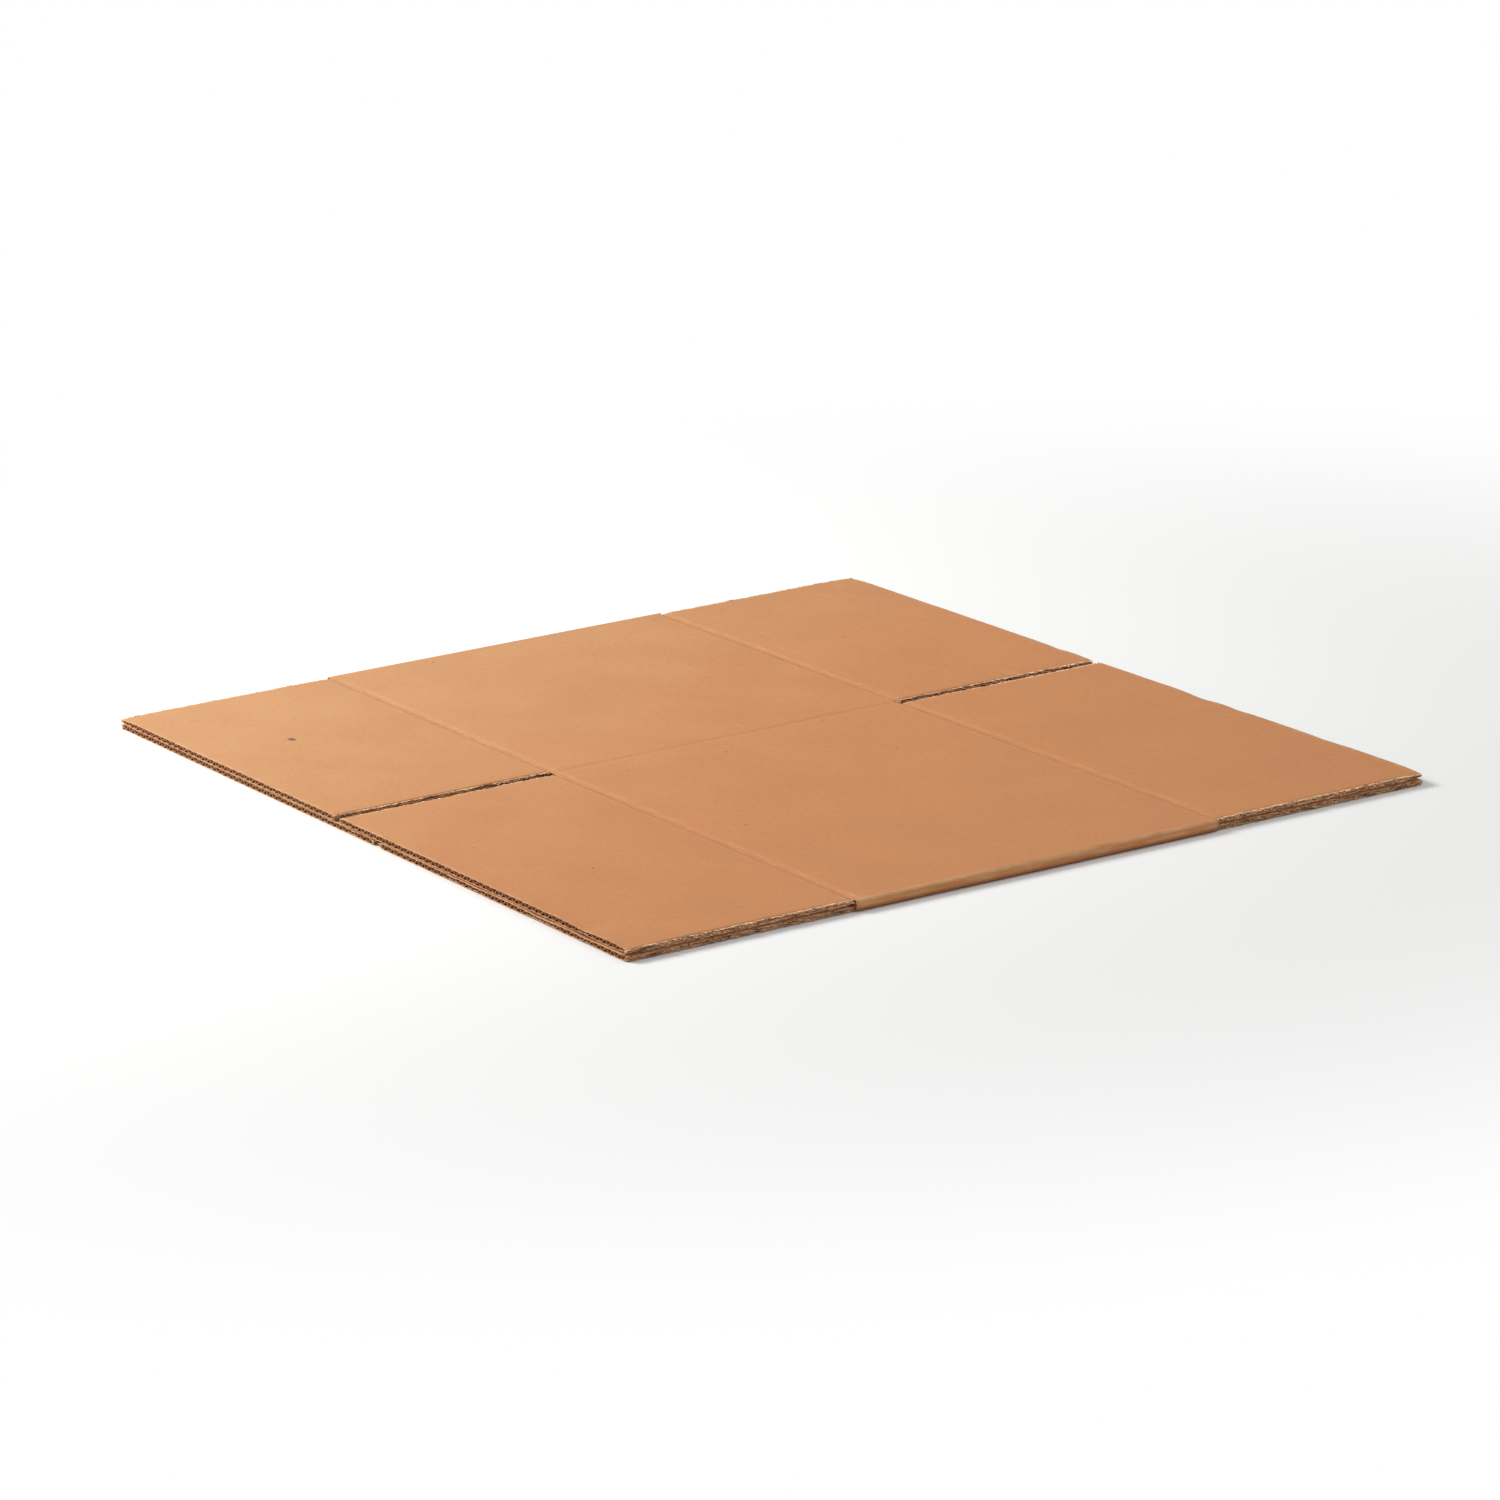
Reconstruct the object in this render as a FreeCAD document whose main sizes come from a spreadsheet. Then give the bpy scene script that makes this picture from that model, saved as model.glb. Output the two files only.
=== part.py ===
import FreeCAD, Part
import Sketcher
import os
import re

# A shipping carton of corrugated board, knocked down flat. The blank is cut and scored, folded over
# at two upright corners and glued at a third, so that it lies in two layers of board with its flaps
# straight out at both ends. It is one piece all through.
#
# Frame, in millimetres: origin at the centre of the underside, +X across the panels from fold to
# fold, +Y along the flutes from one row of flaps to the other, +Z up.

NODE = "flattened_box"

SIZES = (
    ("box_length", 355.6, "long panel, from crease to crease"),
    ("box_width", 304.8, "short panel, from crease to crease"),
    ("box_height", 254.0, "panel, from flap score to flap score"),
    ("flap_length", 152.4, "flap, from its score to its free edge"),
    ("board_thickness", 3.7, "one thickness of fluted board"),
    ("layer_gap", 0.5, "air between the two layers"),
    ("liner_thickness", 0.4, "flat facing on either side of the flutes"),
    ("medium_thickness", 0.35, "fluted paper over the narrow side of a channel"),
    ("flute_pitch", 7.8, "from one crest to the next on the same side"),
    ("crest_width", 1.2, "narrow side of a flute channel"),
    ("foot_width", 2.0, "fluted paper between the wide sides of two channels"),
    ("fold_radius", 2.2, "outer rounding of the two side folds"),
    ("fold_wall", 1.5, "crushed board at the middle of a side fold"),
    ("slot_width", 9.5, "slot between two flaps"),
    ("score_width", 6.0, "mouth of a pressed score line"),
    ("score_floor", 2.5, "flat bottom of a score line"),
    ("score_depth", 0.25, "depth of a score line"),
    ("joint_gap", 1.5, "open line between the two panels that the tab joins"),
    ("tab_length", 35.0, "glue tab, from its crease to its free edge"),
    ("tab_root", 3.0, "tab inside the board of its own panel"),
    ("tab_sink", 0.8, "depth that the tab is pressed into the panel below it"),
    ("tab_clearance", 0.1, "air between the tab and the upper layer"),
    ("tab_setback", 3.0, "tab's root, short of the flap scores"),
    ("tab_taper", 12.0, "narrowing of the tab at each end"),
    ("cut_overrun", 2.0, "how far a cutting shape passes the outside of the board"),
)

# Places that follow from the sizes
HALF_FLAT = "((box_length + box_width) / 2)"
HALF_HEIGHT = "(box_height / 2)"
HALF_BLANK = "(box_height / 2 + flap_length)"
THICKNESS = "(2 * board_thickness + layer_gap)"
MIDDLE = "(board_thickness + layer_gap / 2)"
UPPER_CREASE = "((box_width - box_length) / 2)"
JOINT_CREASE = "((box_length - box_width) / 2)"
WIDE_SIDE = "(flute_pitch - foot_width)"
FLUTE_COUNT = (
    "floor((box_length + box_width - 2 * fold_wall - flute_pitch / 2 + foot_width) / flute_pitch)"
)
FIRST_FLUTE = f"(-{FLUTE_COUNT} * flute_pitch / 2)"

# Sketcher's numbers for the origin and for a line's two ends
ORIGIN = -1
START = 1
END = START + 1
STRAIGHT_EDGE = 1e-6


def formula(text):
    """The text as an expression that reads every size from the sheet."""
    return re.sub(r"\b[a-z]+(_[a-z]+)+\b", r"Sizes.\g<0>", text)


def number(source, text):
    """The present value of a formula."""
    return float(source.evalExpression(formula(text)))


def make_sheet(doc):
    """The sheet of driving sizes: name, value and what it measures."""
    sheet = doc.addObject("Spreadsheet::Sheet", "Sizes")
    for row, (alias, size, meaning) in enumerate(SIZES, start=1):
        sheet.set(f"A{row}", alias)
        sheet.set(f"B{row}", str(size))
        sheet.set(f"C{row}", meaning)
        sheet.setAlias(f"B{row}", alias)
    doc.recompute()


def add_outline(sketch, corners):
    """A closed outline of straight lines, each corner placed by two dimensions from the origin."""
    points = [FreeCAD.Vector(number(sketch, x), number(sketch, y), 0) for x, y in corners]
    first = sketch.GeometryCount
    for start, end in zip(points, points[1:] + points[:1]):
        sketch.addGeometry(Part.LineSegment(start, end), False)
    for index, (corner, point) in enumerate(zip(corners, points)):
        line = first + index
        following = first + (index + 1) % len(corners)
        sketch.addConstraint(Sketcher.Constraint("Coincident", line, END, following, START))
        across = Sketcher.Constraint("DistanceX", ORIGIN, START, line, START, point.x)
        upward = Sketcher.Constraint("DistanceY", ORIGIN, START, line, START, point.y)
        for constraint, text in zip((across, upward), corner):
            place = sketch.addConstraint(constraint)
            sketch.setExpression(f"Constraints[{place}]", formula(text))


def make_sketch(body, name, plane, outlines, lift="0"):
    """A sketch of closed outlines on one of the body's own planes, lifted along its normal."""
    sketch = body.newObject("Sketcher::SketchObject", name)
    support = next(item for item in body.Origin.OriginFeatures if item.Role == plane)
    sketch.AttachmentSupport = [(support, "")]
    sketch.MapMode = "FlatFace"
    sketch.setExpression("AttachmentOffset.Base.z", formula(lift))
    for corners in outlines:
        add_outline(sketch, corners)
    return sketch


def rectangle(low_x, high_x, low_y, high_y):
    """The four corners of an upright rectangle."""
    return ((low_x, low_y), (high_x, low_y), (high_x, high_y), (low_x, high_y))


def pad(body, name, sketch, length, side="One side"):
    """Board built up from a sketch."""
    feature = body.newObject("PartDesign::Pad", name)
    feature.Profile = sketch
    feature.SideType = side
    feature.setExpression("Length", formula(length))
    body.Document.recompute()
    return feature


def pocket(body, name, sketch, length, side="One side", upward=False):
    """Board cut away below a sketch, or above it, or to both sides. It has to remove something."""
    before = body.Shape.Volume
    feature = body.newObject("PartDesign::Pocket", name)
    feature.Profile = sketch
    feature.SideType = side
    feature.Reversed = upward
    feature.setExpression("Length", formula(length))
    body.Document.recompute()
    if body.Shape.Volume >= before:
        raise RuntimeError(f"{name} cuts nothing")
    return feature


def make_folded_sheet(body):
    """The two layers in section, joined at the side folds, drawn out along the flutes."""
    outside = rectangle(f"-{HALF_FLAT}", HALF_FLAT, "0", THICKNESS)
    slit_end = f"({HALF_FLAT} - fold_wall)"
    slit = rectangle(f"-{slit_end}", slit_end, "board_thickness", "board_thickness + layer_gap")
    section = make_sketch(body, "FoldedSection", "XZ_Plane", (outside, slit))
    sheet = pad(body, "FoldedSheet", section, f"2 * {HALF_BLANK}", "Symmetric")

    half_flat = number(section, HALF_FLAT)
    corners = []
    for index, edge in enumerate(sheet.Shape.Edges, start=1):
        box = edge.BoundBox
        upright_line = box.XLength < STRAIGHT_EDGE and box.ZLength < STRAIGHT_EDGE
        if upright_line and abs(abs(box.Center.x) - half_flat) < STRAIGHT_EDGE:
            corners.append(f"Edge{index}")
    rounding = body.newObject("PartDesign::Fillet", "SideFolds")
    rounding.Base = (sheet, corners)
    rounding.setExpression("Radius", formula("fold_radius"))
    body.Document.recompute()


def slots_at(crease):
    """The two slots on one upright crease, open at the free edges of the flaps."""
    low_x = f"{crease} - slot_width / 2"
    high_x = f"{crease} + slot_width / 2"
    outer_end = f"({HALF_BLANK} + cut_overrun)"
    return (
        rectangle(low_x, high_x, HALF_HEIGHT, outer_end),
        rectangle(low_x, high_x, f"-{outer_end}", f"-{HALF_HEIGHT}"),
    )


def cut_slots(body):
    """Slots between the flaps: at both side folds and at the middle crease of each layer."""
    layers = (("Upper", UPPER_CREASE, True), ("Lower", JOINT_CREASE, False))
    for layer, crease, upward in layers:
        outlines = []
        for place in (f"-{HALF_FLAT}", crease, HALF_FLAT):
            outlines.extend(slots_at(place))
        sketch = make_sketch(body, f"{layer}SlotPlan", "XY_Plane", outlines, MIDDLE)
        pocket(body, f"{layer}Slots", sketch, THICKNESS, upward=upward)


def cut_joint_gap(body):
    """The open line in the lower layer where the two panels of the glued joint meet."""
    gap = rectangle(
        f"{JOINT_CREASE} - joint_gap / 2",
        f"{JOINT_CREASE} + joint_gap / 2",
        f"-{HALF_HEIGHT}",
        HALF_HEIGHT,
    )
    sketch = make_sketch(body, "JointGapPlan", "XY_Plane", (gap,), MIDDLE)
    pocket(body, "JointGap", sketch, THICKNESS)


def score(centre, face, floor):
    """Section of a pressed score line, from the board's face down to its flat floor."""
    return (
        (f"{centre} - score_width / 2", face),
        (f"{centre} - score_floor / 2", floor),
        (f"{centre} + score_floor / 2", floor),
        (f"{centre} + score_width / 2", face),
    )


def press_scores(body):
    """The four flap scores in the outer faces, and the upper layer's middle crease."""
    top_floor = f"{THICKNESS} - score_depth"
    flap_lines = []
    for centre in (f"-{HALF_HEIGHT}", HALF_HEIGHT):
        flap_lines.append(score(centre, THICKNESS, top_floor))
        flap_lines.append(score(centre, "0", "score_depth"))
    sketch = make_sketch(body, "FlapScoreSection", "YZ_Plane", flap_lines)
    pocket(body, "FlapScores", sketch, f"2 * ({HALF_FLAT} + cut_overrun)", "Symmetric")

    crease = (score(UPPER_CREASE, THICKNESS, top_floor),)
    sketch = make_sketch(body, "CreaseSection", "XZ_Plane", crease)
    pocket(body, "MiddleCrease", sketch, "box_height", "Symmetric")


def channel(centre, wide_level, narrow_level):
    """Section of one flute channel, a trapezium between a facing and the fluted paper."""
    return (
        (f"{centre} - {WIDE_SIDE} / 2", wide_level),
        (f"{centre} - crest_width / 2", narrow_level),
        (f"{centre} + crest_width / 2", narrow_level),
        (f"{centre} + {WIDE_SIDE} / 2", wide_level),
    )


def open_flutes(body):
    """The channels on both sides of the fluted paper, in both layers, right through the sheet."""
    facing = "liner_thickness"
    crest = "(liner_thickness + medium_thickness)"
    outward = f"({FIRST_FLUTE} + flute_pitch / 4)"
    inward = f"({FIRST_FLUTE} + 3 * flute_pitch / 4)"
    section = (
        channel(outward, facing, f"board_thickness - {crest}"),
        channel(inward, f"board_thickness - {facing}", crest),
        channel(outward, f"{THICKNESS} - {facing}", f"{THICKNESS} - board_thickness + {crest}"),
        channel(inward, f"{THICKNESS} - board_thickness + {facing}", f"{THICKNESS} - {crest}"),
    )
    sketch = make_sketch(body, "FluteSection", "XZ_Plane", section)
    first = pocket(body, "FirstFlute", sketch, f"2 * ({HALF_BLANK} + cut_overrun)", "Symmetric")

    flutes = body.newObject("PartDesign::LinearPattern", "Flutes")
    flutes.Originals = [first]
    flutes.Direction = (sketch, ["H_Axis"])
    flutes.Mode = "Spacing"
    flutes.setExpression("Offset", formula("flute_pitch"))
    flutes.setExpression("Occurrences", formula(FLUTE_COUNT))
    body.Tip = flutes
    body.Document.recompute()


def add_glue_tab(body):
    """The tab of the long lower panel, pressed flat between the layers on the short one."""
    root = f"{JOINT_CREASE} - joint_gap / 2 - tab_root"
    tip = f"{JOINT_CREASE} + tab_length"
    half_root = f"({HALF_HEIGHT} - tab_setback)"
    half_tip = f"({HALF_HEIGHT} - tab_setback - tab_taper)"
    outline = (
        (root, f"-{half_root}"),
        (JOINT_CREASE, f"-{half_root}"),
        (tip, f"-{half_tip}"),
        (tip, half_tip),
        (JOINT_CREASE, half_root),
        (root, half_root),
    )
    underside = "board_thickness - tab_sink"
    sketch = make_sketch(body, "GlueTabPlan", "XY_Plane", (outline,), underside)
    pad(body, "GlueTab", sketch, "layer_gap - tab_clearance + tab_sink")


def check(doc, body):
    """Nothing has failed, and the box is one sound solid."""
    for item in doc.Objects:
        if "Invalid" in item.State or "Error" in item.State:
            raise RuntimeError(f"{item.Name} failed")
    shape = body.Shape
    if shape.isNull() or not shape.isValid() or len(shape.Solids) != 1:
        raise RuntimeError(f"{body.Label} is not one sound solid")


def main():
    doc = FreeCAD.newDocument("FlattenedBox")
    make_sheet(doc)
    body = doc.addObject("PartDesign::Body", "FlattenedBox")
    body.Label = NODE
    make_folded_sheet(body)
    cut_slots(body)
    cut_joint_gap(body)
    press_scores(body)
    open_flutes(body)
    add_glue_tab(body)
    check(doc, body)
    os.makedirs("parts", exist_ok=True)
    body.Shape.exportStep(f"parts/{body.Label}.step")


main()
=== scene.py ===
import math

import bmesh
import bpy
import numpy as np
from bpy.props import FloatProperty, FloatVectorProperty, PointerProperty
from bpy.types import Operator, Panel, PropertyGroup
from mathutils import Matrix, Vector


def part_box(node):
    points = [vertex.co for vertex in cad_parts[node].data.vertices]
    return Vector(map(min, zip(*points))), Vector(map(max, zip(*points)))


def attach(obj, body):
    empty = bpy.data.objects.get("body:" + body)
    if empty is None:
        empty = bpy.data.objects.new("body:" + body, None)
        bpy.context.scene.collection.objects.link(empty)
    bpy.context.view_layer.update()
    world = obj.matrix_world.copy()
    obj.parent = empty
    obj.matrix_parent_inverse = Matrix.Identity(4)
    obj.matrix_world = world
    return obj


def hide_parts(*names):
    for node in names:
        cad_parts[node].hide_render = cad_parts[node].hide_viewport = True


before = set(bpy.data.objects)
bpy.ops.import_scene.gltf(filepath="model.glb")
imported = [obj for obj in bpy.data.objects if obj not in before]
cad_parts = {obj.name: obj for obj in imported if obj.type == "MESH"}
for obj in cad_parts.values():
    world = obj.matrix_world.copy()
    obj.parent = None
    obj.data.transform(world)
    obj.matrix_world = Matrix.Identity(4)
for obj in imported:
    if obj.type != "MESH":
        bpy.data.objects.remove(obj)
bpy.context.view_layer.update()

bl_info = {
    "name": "Flattened Cardboard Box",
    "version": (1, 0, 0),
    "blender": (4, 5, 0),
    "location": "View3D > Sidebar > Flat Box",
    "description": "Dresses a knocked-down carton of corrugated board",
    "category": "Add Mesh",
}

# The box is dressed as the blank it is cut from: facings and fluted paper are long ribbons that run
# once round the folded section, and every ribbon is bent, pressed and creased by the same rules.
# Sizes are in metres. +X runs from fold to fold, +Y along the flutes, +Z up.

NODE = "flattened_box"
BODY = "root"
MM = 0.001
LOWEST, HIGHEST = (Vector(corner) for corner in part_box(NODE))
HALF_FLAT = HIGHEST.x
HALF_BLANK = HIGHEST.y
THICKNESS = HIGHEST.z

LOWER = -1.0
UPPER = 1.0

# Spacing of the cross sections along the flutes: away from scores and ends, and near them
FACING_STEP = 21.0 * MM
FLUTED_STEP = 48.0 * MM
FINE_STEP = 1.0 * MM
SCORE_BAND = 5.0 * MM
END_BAND = 3.0 * MM

# How far a panel's folds and creases run on past the flap scores
PAST_SCORE = 4.0 * MM

# Reach of the pressed lines: across a score and its soft surroundings, across a crease, in from an edge
SCORE_REACH = 2.3 * MM
HALO_REACH = 6.5 * MM
CREASE_REACH = 2.4 * MM
END_REACH = 1.4 * MM
CUT_REACH = 1.6 * MM
SCORE_WANDER = 0.5 * MM
HALO_PRESS = 0.10
END_PRESS = 0.04

# The lower layer's share of the flaps' skew, and how far in from a free edge the paper is ragged
LOWER_SKEW = 0.7
RAGGED_REACH = 1.5 * MM

# How square the flutes are, and what is left of their height in a side fold
FLUTE_SQUARENESS = 1.25
FOLDED_FLUTES = 0.55

# Places at the free edges that handling has crushed
CRUSHED_COUNT = 26
CRUSHED_LOWER_SHARE = 0.4
CRUSHED_CORNER_INSET = 6 * MM
CRUSHED_CORNER_REACH = 11 * MM
CRUSHED_CORNER_DEPTH = 0.38

# The glue tab: how far it is pressed in, how high it lies on its panel, and its ripple over the flutes
TAB_SINK = 0.8 * MM
TAB_RISE = 0.32 * MM
TAB_RIPPLE = 0.04 * MM
TAB_ROWS = 41

# Torn papers at a slot: millimetres below the board's face, and how loosely each hangs
TORN_PAPERS = ((0.15, 0.5), (0.9, 1.2), (1.85, 1.5), (2.8, 1.2), (3.5, 0.5))
TORN_THICKNESS = 0.26 * MM
TORN_ROOT = 1.3 * MM
TORN_MARGIN = 0.16 * MM
TORN_DROP = 0.15 * MM
TORN_CURL = 0.45
TORN_CURL_LENGTH = 2.0 * MM
TORN_GAP_CHANCE = 0.06
TORN_LOOSENESS = 0.55
TORN_FROM_SCORE = 0.6 * MM
TORN_FROM_END = 0.4 * MM

# Shine and fuzz of every paper
PAPER_SHINE = 0.32
PAPER_FUZZ = 0.06
PAPER_FUZZ_SPREAD = 0.5

# A dark spot on the upper long flap, near its free edge, longer across the flutes
SPOT = (-204.4 * MM, -217.4 * MM, THICKNESS)
SPOT_SHAPE = (0.6, 1.0, 1.0)

# Where each lamp stands, and its width
KEY_LAMP = (Vector((-1.30, -1.10, 1.35)), 0.9)
FILL_LAMP = (Vector((0.5, 0.9, 2.6)), 2.4)
SIDE_LAMP = (Vector((2.3, -0.5, 1.1)), 1.8)

# The floor keeps the shadow as far as the first distance and is white from the second
SHADOW_REACH = 0.42
WHITE_FROM = 1.05
FLOOR_RADIUS = 14.0
FLOOR_SIDES = 96
FLOOR_DROP = 0.02 * MM
SENSOR_WIDTH = 36.0
FURTHEST_SEEN = 60.0


def length(name, description, default):
    """A length property in metres."""
    return FloatProperty(
        name=name, description=description, default=default, unit="LENGTH", precision=5
    )


def portion(name, description, default):
    """A property from 0 to 1."""
    return FloatProperty(
        name=name, description=description, default=default, min=0.0, max=1.0, subtype="FACTOR"
    )


def angle(name, description, degrees):
    """An angle property."""
    return FloatProperty(
        name=name, description=description, default=math.radians(degrees), subtype="ANGLE"
    )


def power(name, description, watts):
    """A lamp's power."""
    return FloatProperty(name=name, description=description, default=watts, unit="POWER")


def colour(name, description, default):
    """A colour property."""
    return FloatVectorProperty(
        name=name, description=description, default=default, subtype="COLOR", size=3, min=0.0, max=1.0
    )


class BoxSizes(PropertyGroup):
    """Sizes of the box and its board."""

    long_panel: length("Long panel", "Crease to crease across a long panel", 355.6 * MM)
    panel_height: length("Panel height", "Flap score to flap score", 254.0 * MM)
    board: length("Board", "One thickness of board", 3.7 * MM)
    facing: length("Facing", "Thickness of a flat facing", 0.28 * MM)
    fluted_paper: length("Fluted paper", "Thickness of the fluted paper", 0.22 * MM)
    flute_pitch: length("Flute pitch", "Crest to crest of the fluted paper", 7.8 * MM)
    slot_width: length("Slot width", "Slot between two flaps", 9.5 * MM)
    joint_gap: length("Joint gap", "Open line where the glued panels meet", 1.5 * MM)
    tab_length: length("Tab length", "Glue tab, crease to free edge", 35.0 * MM)
    tab_root: length("Tab root", "Glue tab, from its crease back into its panel", 3.0 * MM)
    tab_setback: length("Tab setback", "Glue tab's end, short of the flap score", 3.0 * MM)
    tab_taper: length("Tab taper", "Narrowing of the glue tab at each end", 12.0 * MM)
    tab_thickness: length("Tab thickness", "Glue tab as pressed", 1.1 * MM)
    fold_reach: length("Fold reach", "How far a side fold's rounding reaches inward", 4.0 * MM)
    washboard: length("Washboard", "Dip of the outer facing between flute crests", 0.05 * MM)


class BoxWear(PropertyGroup):
    """How far the board is pressed, bent and torn."""

    score_press: portion("Score press", "Part of the board's thickness lost at a flap score", 0.47)
    crease_press: portion("Crease press", "Part lost at the upper middle crease", 0.36)
    cut_press: portion("Cut press", "Part lost beside a slot", 0.30)
    most_pressed: portion("Most pressed", "Part that can be lost at most", 0.62)
    flap_skew: length("Flap skew", "How far the layers' ends are out of line", 1.3 * MM)
    ragged_end: length("Ragged end", "Unevenness of the flaps' free edges", 0.22 * MM)
    fold_dent: length("Fold dent", "Shallow hollow along a side fold", 0.20 * MM)
    fold_waver: length("Fold waver", "Unevenness along a side fold", 0.10 * MM)
    fold_undercut: length("Fold undercut", "How far a side fold's lower half draws in", 1.1 * MM)
    fold_end_pull: length("Fold end pull", "How far a side fold draws in at its ends", 0.9 * MM)
    torn_reach: length("Torn reach", "Usual length of the torn fibres in a slot", 0.75 * MM)
    torn_longest: length("Longest tear", "Furthest that torn fibres reach into a slot", 3.6 * MM)


class BoxFinish(PropertyGroup):
    """Colours of the board."""

    kraft: colour("Kraft", "Outer facing", (0.590, 0.240, 0.082))
    kraft_pale: colour("Pale kraft", "Outer facing towards its pale corner", (0.600, 0.305, 0.128))
    # Dark kraft also gives the painted shade on the side folds' lower half and in faint lines along the
    # flutes
    kraft_dark: colour("Dark kraft", "Mottling and pressed lines of the facing", (0.400, 0.152, 0.050))
    # Light kraft also gives the painted highlight along the side folds' ridges
    kraft_light: colour("Light kraft", "Scuffs and raised fibres", (0.720, 0.410, 0.200))
    core: colour("Fluted paper", "Paper between the facings", (0.400, 0.190, 0.085))
    # Speck also gives the painted shadow line along the bottom of the side folds
    speck: colour("Speck", "Dark fibres and dirt in the paper", (0.110, 0.055, 0.028))
    torn: colour("Torn fibres", "Fibres at the slots' cut edges", (0.880, 0.580, 0.345))
    cut: colour("Cut paper", "Freshly cut edges of the papers", (0.760, 0.520, 0.320))


class StageSettings(PropertyGroup):
    """Camera, lamps and floor."""

    azimuth: angle("Azimuth", "Camera's turn about the box", 59.59)
    elevation: angle("Elevation", "Camera's height angle", 15.44)
    roll: angle("Roll", "Camera's tilt in its own picture", -2.83)
    distance: length("Distance", "Camera to the middle of the box", 4.074)
    lens: FloatProperty(
        name="Lens", description="Focal length in millimetres", default=156.0, unit="CAMERA"
    )
    key_power: power("Key lamp", "Power of the large side lamp", 50.0)
    fill_power: power("Fill lamp", "Power of the overhead lamp", 18.0)
    side_power: power("Side lamp", "Power of the weak lamp on the folds", 4.5)
    sky: FloatProperty(name="Sky", description="Strength of the pale surroundings", default=0.30)
    floor: colour("Floor", "Colour of the floor", (0.90, 0.90, 0.89))


def sizes():
    """The box's sizes."""
    return bpy.context.scene.box_sizes


def wear():
    """How far the board is worn."""
    return bpy.context.scene.box_wear


def finish():
    """The board's colours."""
    return bpy.context.scene.box_finish


def half_height():
    """From the middle of a panel to its flap score."""
    return sizes().panel_height / 2


def upper_crease():
    """Where the two upper panels meet."""
    return HALF_FLAT - sizes().long_panel


def joint_crease():
    """Where the two lower panels meet, at the glue tab."""
    return sizes().long_panel - HALF_FLAT


# Smooth seeded unevenness


def waves(seed, count, shortest, longest):
    """Directions, wavelengths and phases of a set of smooth waves."""
    draw = np.random.default_rng(seed)
    heading = draw.uniform(0, math.pi, count)
    number = 2 * math.pi / np.exp(draw.uniform(math.log(shortest), math.log(longest), count))
    return np.cos(heading) * number, np.sin(heading) * number, draw.uniform(0, 2 * math.pi, count)


def unevenness(x, y, wave_set):
    """Sum of a set of waves at each place, about -1 to 1."""
    along, across, phase = wave_set
    total = np.zeros(np.broadcast(x, y).shape)
    for a, b, p in zip(along, across, phase):
        total += np.sin(a * x + b * y + p)
    return total / math.sqrt(len(phase) * 2)


SAG = waves(3, 9, 0.09, 0.45)
FOLD_WAVER = waves(8, 10, 0.035, 0.20)
EDGE_WAVER = waves(14, 12, 0.006, 0.05)
SCORE_WAVER = waves(21, 10, 0.02, 0.12)


def bump(distance, width):
    """A smooth hump, 1 at no distance."""
    return np.exp(-((distance / width) ** 2))


def crushed_places():
    """Where handling has crushed the free edges: place, reach, depth and layer."""
    draw = np.random.default_rng(5)
    places = []
    for index in range(CRUSHED_COUNT):
        end = -1 if index % 2 else 1
        places.append((
            draw.uniform(-0.96, 0.96) * HALF_FLAT,
            end * (HALF_BLANK - draw.uniform(0, 5) * MM),
            draw.uniform(5, 15) * MM,
            draw.uniform(0.12, 0.42),
            LOWER if draw.uniform() < CRUSHED_LOWER_SHARE else UPPER,
        ))
    for side in (-1, 1):
        for end in (-1, 1):
            corner_x = side * (HALF_FLAT - CRUSHED_CORNER_INSET)
            corner_y = end * HALF_BLANK
            places.append((corner_x, corner_y, CRUSHED_CORNER_REACH, CRUSHED_CORNER_DEPTH, UPPER))
    return places


CRUSHED = crushed_places()


def pinch(x, y, layer):
    """How far the board's thickness is pressed together, 0 for none."""
    worn = wear()
    from_score = abs(y) - half_height()
    score = from_score - SCORE_WANDER * unevenness(x, y, SCORE_WAVER)
    pressed = worn.score_press * bump(score, SCORE_REACH) + HALO_PRESS * bump(score, HALO_REACH)
    pressed = pressed + END_PRESS * np.exp(-(HALF_BLANK - abs(y)) / END_REACH)
    crease = bump(x - upper_crease(), CREASE_REACH) * (layer > 0)
    pressed = pressed + worn.crease_press * crease * (from_score < PAST_SCORE)
    to_crease = abs(x - np.where(layer > 0, upper_crease(), joint_crease()))
    from_cut = np.minimum(abs(HALF_FLAT - abs(x)), to_crease) - sizes().slot_width / 2
    beside_slot = np.exp(-np.maximum(from_cut, 0) / CUT_REACH) * (from_score > 0)
    pressed = pressed + worn.cut_press * beside_slot
    for at_x, at_y, reach, depth, of_layer in CRUSHED:
        pressed = pressed + depth * bump(np.hypot(x - at_x, y - at_y), reach) * (layer * of_layer > 0)
    return np.minimum(pressed, worn.most_pressed)


def tab_mask(x, y):
    """1 where the glue tab lies on the lower short panel, falling off at its edges."""
    soft = 1.2 * MM
    short_of_score = 6 * MM
    start = 1 / (1 + np.exp(-(x - joint_crease()) / soft))
    end = 1 / (1 + np.exp((x - joint_crease() - sizes().tab_length) / soft))
    side = 1 / (1 + np.exp((abs(y) - half_height() + short_of_score) / soft))
    return start * end * side


# The folded section


def stations(start, end, step):
    """Even places from start to end, no further apart than step."""
    count = max(1, math.ceil(abs(end - start) / step))
    return np.linspace(start, end, count + 1)


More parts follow.
